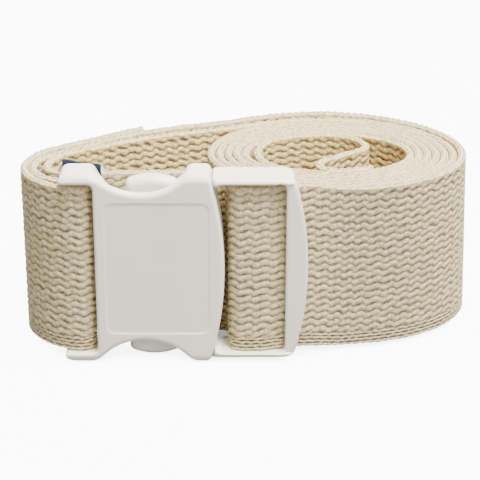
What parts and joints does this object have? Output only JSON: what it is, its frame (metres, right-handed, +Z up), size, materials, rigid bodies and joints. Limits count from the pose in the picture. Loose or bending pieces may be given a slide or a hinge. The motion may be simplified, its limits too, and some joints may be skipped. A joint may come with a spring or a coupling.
{
  "type": "gait belt",
  "caption": "Coiled cotton webbing transfer belt standing on edge, with a two-part side release buckle, a sewn housing loop, an adjuster bar and folded inner end.",
  "frame": {"origin": "on the floor under the middle of the whole belt's bounding box", "axes": "+X along the buckle from the housing towards the coil, +Y behind the buckle, +Z up across the width of the webbing"},
  "size_m": [0.1357, 0.08, 0.0598],
  "materials": {
    "buckle_plastic": "off-white moulded acetal, soft satin gloss, slightly yellowed at the edges",
    "webbing_cotton": "natural cream cotton webbing, coarse twill-like basket weave of slanted cords, matt",
    "sewing_thread": "cream polyester sewing thread",
    "label_cloth": "navy woven label tape with a pale selvedge, matt, blank"
  },
  "bodies": {
    "root": {"plug_frame": "buckle_plastic", "webbing_main": "webbing_cotton", "edge_label": "label_cloth", "label_stitching": "sewing_thread"},
    "housing": {"buckle_housing": "buckle_plastic", "webbing_buckle_loop": "webbing_cotton", "loop_stitching": "sewing_thread"},
    "latch_upper": {"latch_arm_upper": "buckle_plastic"},
    "latch_lower": {"latch_arm_lower": "buckle_plastic"}
  },
  "joints": [
    {"name": "buckle_release", "type": "slide", "parent": "root", "child": "housing", "axis": [-1, 0, 0], "range_m": [0, 0.034]},
    {"name": "latch_upper_press", "type": "hinge", "parent": "root", "child": "latch_upper", "pos_m": [-0.01682, -0.03377, 0.0494], "axis": [0, -1, 0], "range_deg": [0, 9]},
    {"name": "latch_lower_press", "type": "hinge", "parent": "root", "child": "latch_lower", "pos_m": [-0.01682, -0.03377, 0.0104], "axis": [0, 1, 0], "range_deg": [0, 9]}
  ]
}
